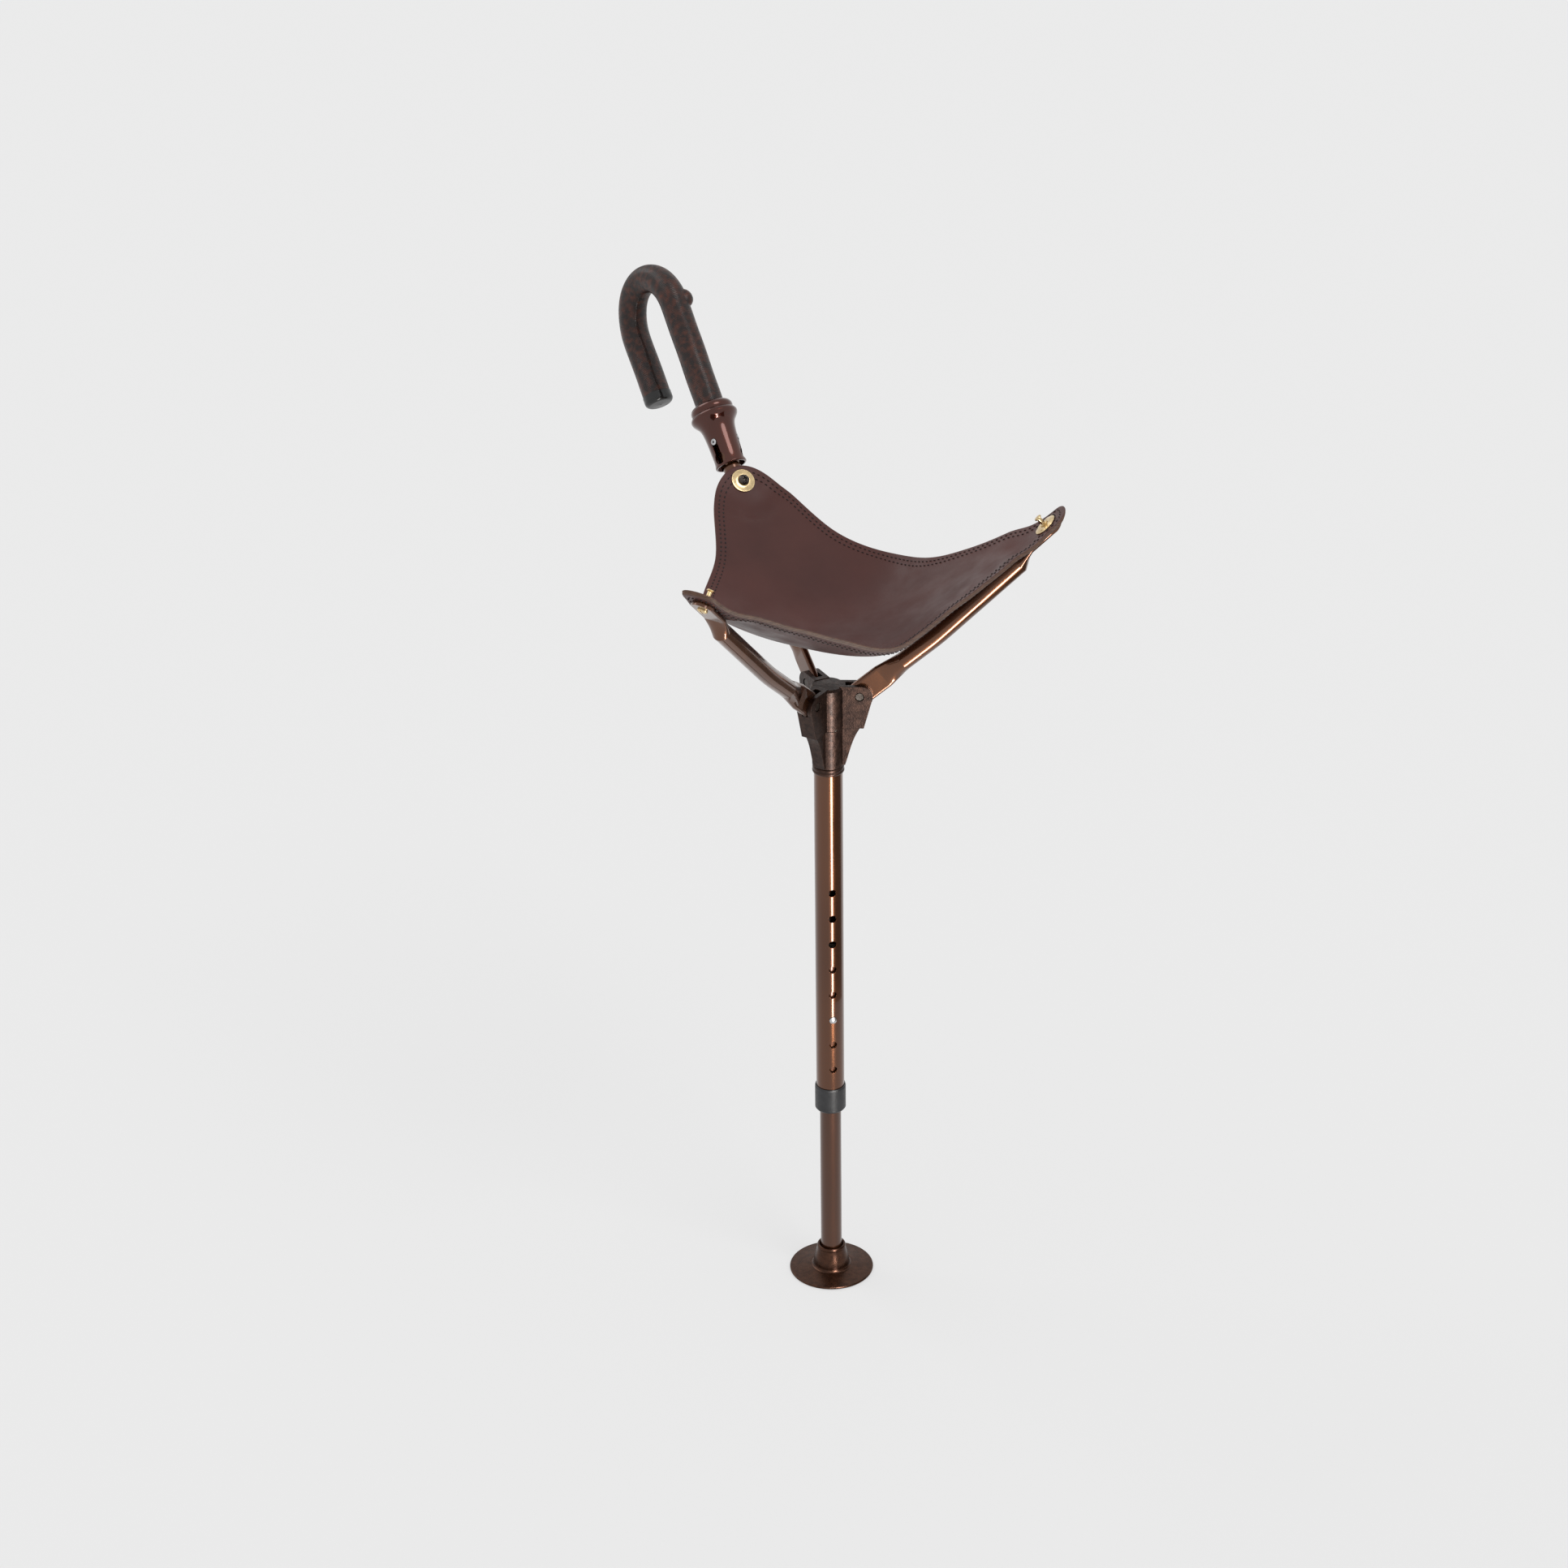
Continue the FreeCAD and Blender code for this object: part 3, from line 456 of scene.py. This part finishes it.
def hang_height(x, y):
    """Underside of the hung leather: a shallow dish that rises in a taut ridge to each tip."""
    z = np.full_like(x, DISH_Z)
    tips = []
    for arm, (azimuth, bend_s, bend) in ARMS.items():
        a = math.radians(azimuth)
        u, v = x * math.cos(a) + y * math.sin(a), y * math.cos(a) - x * math.sin(a)
        if arm == "handle":
            steepness, begin, width = HANDLE_RISE
            z = z + steepness * soft(u - begin, width)
            offset, s = TUBE_TOP + FIT, SCREW_S
        else:
            steepness, begin, width = SIDE_RISE
            ridge = RIDGE_CURVE * ease((u - RIDGE_START) / RIDGE_RUN) * v * v
            z = z + steepness * soft(u - begin, width) + ridge
            offset, s = PLATE_TOP + FIT, STUD_S
        r0, z0, slope = arm_line(arm, offset)
        centre = r0 + (s - bend_s) * math.sin(math.radians(STOP_ANGLE - bend))
        tips.append((np.hypot(u - centre, v), z0 + slope * (u - r0)))
    loose = np.ones_like(z)
    for distance, plane in tips:
        w = ease((TIP_REACH - distance) / TIP_EASE)
        loose = loose * (1 - w)
        z = z * (1 - w) + w * plane
    return z + ripple(x, y) * loose


def hang_slope(x, y):
    step = 0.0005
    dx = (hang_height(x + step, y) - hang_height(x - step, y)) / (2 * step)
    dy = (hang_height(x, y + step) - hang_height(x, y - step)) / (2 * step)
    return dx, dy


def on_leather(xy, depth):
    """Points and upward normals at a depth below the top face, for an array of plan positions."""
    x, y = xy[:, 0], xy[:, 1]
    dx, dy = hang_slope(x, y)
    length = np.sqrt(1 + dx * dx + dy * dy)
    z = hang_height(x, y) + (LEATHER_T - depth) * length
    normals = np.stack([-dx / length, -dy / length, 1 / length], axis=1)
    return np.stack([x, y, z], axis=1), normals


def corner_points():
    """Plan points of the three-cornered blank, broad at the handle, its long edges drawn slightly inward."""

    def corner_point(arm, u, v):
        return (radial(ARMS[arm][0], u) + radial(ARMS[arm][0] + 90, v)).xy

    points = []
    for start, end, azimuth, reach, nudges in LONG_EDGES:
        points += [corner_point(start, u, v) for u, v in TIPS[start]]
        arrive = [corner_point(end, u, -v) for u, v in TIPS[end][:0:-1]]
        first, last = points[-1], arrive[0]
        control = radial(azimuth, reach).xy * 2 - (first + last) * 0.5
        for t, nudge in zip((0.25, 0.5, 0.75), nudges):
            p = first * (1 - t) ** 2 + control * (2 * t * (1 - t)) + last * t * t
            points.append(p + p * (nudge / p.length))
        points += arrive
    return np.array([tuple(p) for p in points])


def smooth_loop(points):
    """Closed centripetal curve through the points, evaluated as a pyramid of linear blends."""
    steps = 24
    out = []
    count = len(points)
    spans = {1: ((0, 1), (1, 2), (2, 3)), 2: ((0, 2), (1, 3)), 3: ((1, 2),)}
    for i in range(count):
        p = [points[(i + k - 1) % count] for k in range(4)]
        knots = [0.0]
        for a, b in zip(p, p[1:]):
            knots.append(knots[-1] + np.linalg.norm(b - a) ** 0.5)
        for t in np.linspace(knots[1], knots[2], steps, endpoint=False):
            level = p
            for depth in (1, 2, 3):
                level = [
                    (a * (knots[hi] - t) + b * (t - knots[lo])) / (knots[hi] - knots[lo])
                    for a, b, (lo, hi) in zip(level, level[1:], spans[depth])
                ]
            out.append(level[0])
    return np.array(out)


def leather_loop():
    """Even edge points, starting where each border between two sectors meets the edge."""
    fine = smooth_loop(corner_points())
    azimuths = np.degrees(np.arctan2(fine[:, 1], fine[:, 0])) % 360
    borders = [int(np.argmin(np.abs(azimuths - a))) for a in BORDERS]
    loop, starts = [], []
    for i, begin in enumerate(borders):
        end = borders[(i + 1) % 3]
        index = np.arange(begin, end + 1 if end > begin else end + len(fine) + 1) % len(fine)
        section = fine[index]
        run = np.concatenate([[0.0], np.cumsum(np.linalg.norm(np.diff(section, axis=0), axis=1))])
        count = int(run[-1] / EDGE_STEP)
        at = np.linspace(0.0, run[-1], count, endpoint=False)
        starts.append(len(loop))
        loop += list(np.stack([np.interp(at, run, section[:, k]) for k in (0, 1)], axis=1))
    return np.array(loop), starts


def outward(loop):
    """Unit vectors that point straight out of a closed plan loop, at each of its points."""
    ahead, behind = np.roll(loop, -1, axis=0), np.roll(loop, 1, axis=0)
    tangent = ahead - behind
    tangent /= np.linalg.norm(tangent, axis=1)[:, None]
    return np.stack([tangent[:, 1], -tangent[:, 0]], axis=1)


def edge_rows(loop):
    """Points and normals of the rounded cut edge, row by row from the top face to the bottom face."""
    out = outward(loop)
    rows = []
    last = len(EDGE_PROFILE) - 1
    for i, (inset, depth) in enumerate(EDGE_PROFILE):
        points, up = on_leather(loop - out * inset, depth)
        (inset_a, depth_a), (inset_b, depth_b) = EDGE_PROFILE[max(i - 1, 0)], EDGE_PROFILE[min(i + 1, last)]
        run = math.hypot(inset_b - inset_a, depth_b - depth_a)
        side, top = (depth_b - depth_a) / run, (inset_a - inset_b) / run
        if i in (0, last):
            side, top = 0.0, 1.0 if i == 0 else -1.0
        normal = side * np.concatenate([out, np.zeros((len(out), 1))], axis=1) + top * up
        rows.append((points, normal / np.linalg.norm(normal, axis=1)[:, None]))
    return rows


def border_points(corner):
    """Plan points along a sector border, from the centre out to but not including the edge."""
    count = int(np.linalg.norm(corner) / GRID)
    return [corner * (i / count) for i in range(1, count)]


def inside(points, loop):
    """Even-odd test of plan points against a closed loop."""
    x, y = points[:, 0][:, None], points[:, 1][:, None]
    a, b = loop, np.roll(loop, -1, axis=0)
    crosses = (a[:, 1] > y) != (b[:, 1] > y)
    rise = np.where(b[:, 1] == a[:, 1], 1e-12, b[:, 1] - a[:, 1])
    at = a[:, 0] + (y - a[:, 1]) * (b[:, 0] - a[:, 0]) / rise
    return (np.sum(crosses & (x < at), axis=1) % 2) == 1


def triangulate(loop, starts):
    """Plan triangles of the whole blank, with the loop and the three borders as fixed edges."""
    count = len(loop)
    points = [tuple(p) for p in loop]
    edges = [(i, (i + 1) % count) for i in range(count)]
    centre = len(points)
    points.append((0.0, 0.0))
    borders = []
    for start in starts:
        chain = [centre]
        for p in border_points(loop[start]):
            chain.append(len(points))
            points.append(tuple(p))
        chain.append(start)
        borders.append(chain)
        edges += list(zip(chain, chain[1:]))
    axis = np.arange(-HALF_SPAN, HALF_SPAN, GRID)
    rows = [(x + (GRID / 2 if j % 2 else 0.0), y) for j, y in enumerate(axis) for x in axis]
    grid = np.array(rows)
    grid = grid[inside(grid, loop - outward(loop) * GRID * EDGE_GAP)]
    clear = np.ones(len(grid), bool)
    for start in starts:
        direction = loop[start] / np.linalg.norm(loop[start])
        along = grid @ direction
        across = np.abs(grid[:, 0] * direction[1] - grid[:, 1] * direction[0])
        clear &= (along < 0) | (across > GRID * BORDER_GAP)
    points += [tuple(p) for p in grid[clear] if np.linalg.norm(p) > GRID * CENTRE_GAP]
    result = geometry.delaunay_2d_cdt([Vector(p) for p in points], edges, [], 1, 1e-7)
    plan, faces, origins = result[0], result[2], result[3]
    new_of_old = {}
    for new, olds in enumerate(origins):
        for old in olds:
            new_of_old[old] = new
    chains = [[new_of_old[i] for i in chain] for chain in borders]
    edge = [new_of_old[i] for i in range(count)]
    return np.array([tuple(p) for p in plan]), faces, edge, chains


def sector_of(xy, directions):
    """Index of the sector that holds a plan point: sector i runs from border i to border i + 1."""
    angles = [math.atan2(d[1], d[0]) % math.tau for d in directions]
    angle = math.atan2(xy[1], xy[0]) % math.tau
    if angles[0] <= angle < angles[1]:
        return 0
    if angles[1] <= angle < angles[2]:
        return 1
    return 2


def leather_sectors(materials):
    """Three closed pieces of one continuous hide, one for the sector over each arm."""
    loop, starts = leather_loop()
    rows = edge_rows(loop)
    inner = rows[0][0][:, :2]
    plan, faces, edge, chains = triangulate(inner, starts)
    top, top_normals = on_leather(plan, 0.0)
    bottom, bottom_normals = on_leather(plan, LEATHER_T)
    count, size = len(loop), len(plan)
    points = [*top, *bottom]
    normals = [*top_normals, *-bottom_normals]
    for row_points, row_normals in rows[1:-1]:
        points += list(row_points)
        normals += list(row_normals)

    def rim(i, row):
        i %= count
        if row == 0:
            return edge[i]
        if row == len(rows) - 1:
            return size + edge[i]
        return 2 * size + (row - 1) * count + i

    directions = [inner[s] for s in starts]
    ends = [*starts[1:], count]
    cut_rows = range(2, len(rows) - 3)
    pieces = []
    for k, arm in enumerate(SECTORS):
        piece_faces, kinds = [], []
        for face in faces:
            if sector_of(sum(plan[i] for i in face) / 3.0, directions) == k:
                piece_faces += [tuple(face), tuple(size + i for i in reversed(face))]
                kinds += [0, 0]
        begin, end = starts[k], ends[k]
        for i in range(begin, end):
            for row in range(len(rows) - 1):
                piece_faces.append((rim(i, row), rim(i, row + 1), rim(i + 1, row + 1), rim(i + 1, row)))
                kinds.append(int(row in cut_rows))
        for chain, flip in ((chains[k], False), (chains[(k + 1) % 3], True)):
            for a, b in zip(chain, chain[1:]):
                wall = (a, size + a, size + b, b)
                piece_faces.append(wall[::-1] if flip else wall)
                kinds.append(0)
        for i, flip in ((begin, False), (end, True)):
            section = tuple(rim(i, row) for row in range(len(rows)))
            piece_faces.append(section if flip else section[::-1])
            kinds.append(0)
        used = sorted({i for face in piece_faces for i in face})
        place = {old: new for new, old in enumerate(used)}
        piece = new_object(
            "seat_leather_" + arm,
            [points[i] for i in used],
            [tuple(place[i] for i in face) for face in piece_faces],
            materials,
            kinds,
            [normals[i] for i in used],
        )
        pieces.append((arm, piece))
    return pieces, loop, directions


def stitch(start, end, sideways, face):
    """One raised stitch between two holes: a flattened thread, thinner and sunk in the hide at both ends."""
    points, faces = [], []
    sections, around = 7, 6
    for i in range(sections):
        t = i / (sections - 1)
        arch = math.sin(math.pi * t)
        xy = start * (1 - t) + end * t
        base, normal = on_leather(xy[None, :], 0.0 if face > 0 else LEATHER_T)
        base, normal = base[0], normal[0] * face
        radius = THREAD_R * (0.55 + 0.45 * arch)
        centre = base + normal * (THREAD_R * (1.15 * arch - 0.75))
        for j in range(around):
            a = math.tau * j / around
            points.append(centre + radius * (math.cos(a) * sideways * 1.15 + math.sin(a) * normal))
    for i in range(sections - 1):
        for j in range(around):
            a, b = i * around + j, i * around + (j + 1) % around
            faces.append((a, b, b + around, a + around))
    faces.append(tuple(reversed(range(around))))
    faces.append(tuple(range((sections - 1) * around, sections * around)))
    return points, faces


def stitching(loop, directions, material):
    """Two parallel rows along every edge, top and underside, sorted by sector."""
    parts = {arm: ([], []) for arm in SECTORS}
    for inset in STITCH_ROWS:
        row = loop - outward(loop) * inset
        closed = np.concatenate([row, row[:1]])
        run = np.concatenate([[0.0], np.cumsum(np.linalg.norm(np.diff(closed, axis=0), axis=1))])
        count = int(run[-1] / STITCH_PITCH)
        for i in range(count):
            at = run[-1] * i / count
            start = np.array([np.interp(at, run, closed[:, k]) for k in (0, 1)])
            end = np.array([np.interp(at + STITCH_LEN, run, closed[:, k]) for k in (0, 1)])
            heading = end - start
            sideways = np.array([heading[1], -heading[0], 0.0]) / np.linalg.norm(heading)
            points, faces = parts[SECTORS[sector_of((start + end) / 2, directions)]]
            for side in (1, -1):
                new_points, new_faces = stitch(start, end, sideways, side)
                first = len(points)
                points += new_points
                faces += [tuple(first + j for j in face) for face in new_faces]
    return {arm: new_object("seat_stitching_" + arm, *parts[arm], [material]) for arm in SECTORS}


def add_leather(materials, thread):
    pieces, loop, directions = leather_sectors(materials)
    stitches = stitching(loop, directions, thread)
    for arm, piece in pieces:
        for obj in (piece, stitches[arm]):
            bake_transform(obj)
        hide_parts("leather_seat")


# crook


def crook_station(s):
    """Centre, direction toward the bend's centre and binormal of the crook at a distance along it."""
    twist = math.radians(CROOK_TWIST)
    side = Vector((math.cos(twist), math.sin(twist), 0))
    up = Vector((0, 0, 1))
    straight = BEND_START_S - CROOK_START
    arc = CROOK_BEND * math.radians(CROOK_ARC)
    a = min(max(s - straight, 0.0), arc) / CROOK_BEND
    tangent = up * math.cos(a) + side * math.sin(a)
    centre = Vector((0, 0, BEND_START_S)) + (up * math.sin(a) + side * (1 - math.cos(a))) * CROOK_BEND
    centre += tangent * (min(s - straight, 0.0) + max(s - straight - arc, 0.0))
    return centre, side * math.cos(a) - up * math.sin(a), up.cross(side)


def crook_radius(s, theta, knot_s, knot_theta):
    """Ringed surface of the cane with slow swellings and one stub of a cut side shoot."""
    swell = 0.00016 * math.sin(38.0 * s + 2.0 * math.sin(theta)) + 0.00010 * math.sin(140.0 * s + 3.0 * theta)
    patch = 0.5 + 0.5 * math.sin(57.0 * s + 2.0 * theta) * math.sin(23.0 * s - theta)
    phase = math.tau * s / RIDGE_PITCH + 0.9 * math.sin(2.0 * theta + 31.0 * s)
    ridge = RIDGE_HEIGHT * (0.35 + 0.65 * patch) * math.sin(phase)
    turn = (theta - knot_theta + math.pi) % math.tau - math.pi
    d2 = (s - knot_s) ** 2 + (CROOK_R * turn) ** 2
    stub = math.sqrt(max(0.0, KNOT_R ** 2 - d2)) - KNOT_SINK
    return CROOK_R - RIDGE_INSET + swell + ridge + max(0.0, stub)


def add_crook(material):
    straight = BEND_START_S - CROOK_START
    length = straight + CROOK_BEND * math.radians(CROOK_ARC) + NOSE_LEN
    knot = radial(KNOT_AZ - CROOK_TWIST, 1.0)
    knot_theta = math.atan2(knot.y, knot.x)
    rings = int(length / RING_STEP)
    matrix = arm_matrix("handle")
    points, faces = [], []
    for i in range(rings + 1):
        s = length * i / rings
        centre, inward, across = crook_station(s)
        for j in range(RING_POINTS):
            theta = math.tau * j / RING_POINTS
            r = crook_radius(s, theta, straight, knot_theta)
            points.append(matrix @ (centre + r * (math.cos(theta) * inward + math.sin(theta) * across)))
    for i in range(rings):
        for j in range(RING_POINTS):
            a, b = i * RING_POINTS + j, i * RING_POINTS + (j + 1) % RING_POINTS
            faces.append((a, b, b + RING_POINTS, a + RING_POINTS))
    faces.append(tuple(reversed(range(RING_POINTS))))
    faces.append(tuple(range(rings * RING_POINTS, (rings + 1) * RING_POINTS)))
    crook = new_object("crook_cane", points, faces, [material])
    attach(crook, "handle")
    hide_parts("crook_handle")


# studio


def sun(name, azimuth, elevation, spread_angle, strength):
    """Distant soft lamp, so that the floor stays evenly lit."""
    light = bpy.data.lights.new(name, "SUN")
    light.angle = math.radians(spread_angle)
    light.energy = strength
    obj = bpy.data.objects.new(name, light)
    bpy.context.scene.collection.objects.link(obj)
    toward = -radial(azimuth, math.cos(math.radians(elevation)), math.sin(math.radians(elevation)))
    obj.rotation_euler = toward.to_track_quat("-Z", "Y").to_euler()


def mirrored_screen(name, start, end, distance, height, tone, strength):
    """A standing curved screen, bright or dim, that only shows as a reflection in glossy surfaces."""
    material = bpy.data.materials.new(name)
    material.use_nodes = True
    nodes, links = material.node_tree.nodes, material.node_tree.links
    nodes.clear()
    emission = nodes.new("ShaderNodeEmission")
    emission.inputs["Color"].default_value = (*tone, 1.0)
    emission.inputs["Strength"].default_value = strength
    output = nodes.new("ShaderNodeOutputMaterial")
    links.new(emission.outputs["Emission"], output.inputs["Surface"])
    segments = 16
    points = []
    for i in range(segments + 1):
        azimuth = start + (end - start) * i / segments
        points += [radial(azimuth, distance, 0.0), radial(azimuth, distance, height)]
    faces = [(2 * i, 2 * i + 2, 2 * i + 3, 2 * i + 1) for i in range(segments)]
    screen = new_object(name, points, faces, [material])
    screen.visible_camera = False
    screen.visible_diffuse = False
    screen.visible_shadow = False


def add_floor():
    """Pale sweep: a flat tone mixed with lit paint, so that it is even and still takes the shadow."""
    material, shader = finish("studio_floor", (FLOOR_TONE,) * 3, 0.9)
    shader.inputs["Specular IOR Level"].default_value = 0.0
    nodes, links = material.node_tree.nodes, material.node_tree.links
    rays = nodes.new("ShaderNodeLightPath")
    seen = nodes.new("ShaderNodeMath")
    seen.operation = "MAXIMUM"
    mirrored = nodes.new("ShaderNodeMath")
    mirrored.operation = "MAXIMUM"
    share = nodes.new("ShaderNodeMath")
    share.operation = "MULTIPLY"
    share.inputs[1].default_value = FLAT_SHARE
    flat = nodes.new("ShaderNodeEmission")
    flat.inputs["Color"].default_value = (BACKGROUND, BACKGROUND, BACKGROUND, 1.0)
    mix = nodes.new("ShaderNodeMixShader")
    links.new(rays.outputs["Is Glossy Ray"], mirrored.inputs[0])
    links.new(rays.outputs["Is Transmission Ray"], mirrored.inputs[1])
    links.new(rays.outputs["Is Camera Ray"], seen.inputs[0])
    links.new(mirrored.outputs[0], seen.inputs[1])
    links.new(seen.outputs[0], share.inputs[0])
    links.new(share.outputs[0], mix.inputs["Fac"])
    links.new(shader.outputs["BSDF"], mix.inputs[1])
    links.new(flat.outputs["Emission"], mix.inputs[2])
    links.new(mix.outputs["Shader"], nodes["Material Output"].inputs["Surface"])
    segments = 96
    points = [radial(360.0 * i / segments, FLOOR_SIZE, -FLOOR_GAP) for i in range(segments)]
    floor = new_object("studio_floor", points, [tuple(range(segments))], [material])


def add_world():
    world = bpy.data.worlds.new("studio_world")
    world.use_nodes = True
    background = world.node_tree.nodes["Background"]
    background.inputs["Color"].default_value = (BACKGROUND, BACKGROUND, BACKGROUND, 1.0)
    background.inputs["Strength"].default_value = 1.0
    bpy.context.scene.world = world


def add_camera():
    data = bpy.data.cameras.new("studio_camera")
    data.lens = CAM_LENS
    data.sensor_width = CAM_SENSOR
    data.sensor_fit = "HORIZONTAL"
    data.shift_x = CAM_SHIFT
    data.clip_end = 60.0
    camera = bpy.data.objects.new("studio_camera", data)
    bpy.context.scene.collection.objects.link(camera)
    level = rotation(CAM_AZ + 90.0, "Z") @ rotation(90.0 - CAM_TILT, "X") @ rotation(CAM_ROLL, "Z")
    camera.matrix_world = Matrix.Translation(radial(CAM_AZ, CAM_DISTANCE, CAM_HEIGHT)) @ level
    bpy.context.scene.camera = camera


def main():
    finishes = make_finishes()
    dress_solids(finishes)
    add_leather([saddle_leather(), leather_edge()], waxed_thread())
    add_crook(crook_wood())
    add_floor()
    add_world()
    for name, values in SUNS.items():
        sun(name, *values)
    for name, values in SCREENS.items():
        mirrored_screen(name, *values)
    add_camera()
    bpy.context.scene.view_settings.view_transform = "Standard"


main()
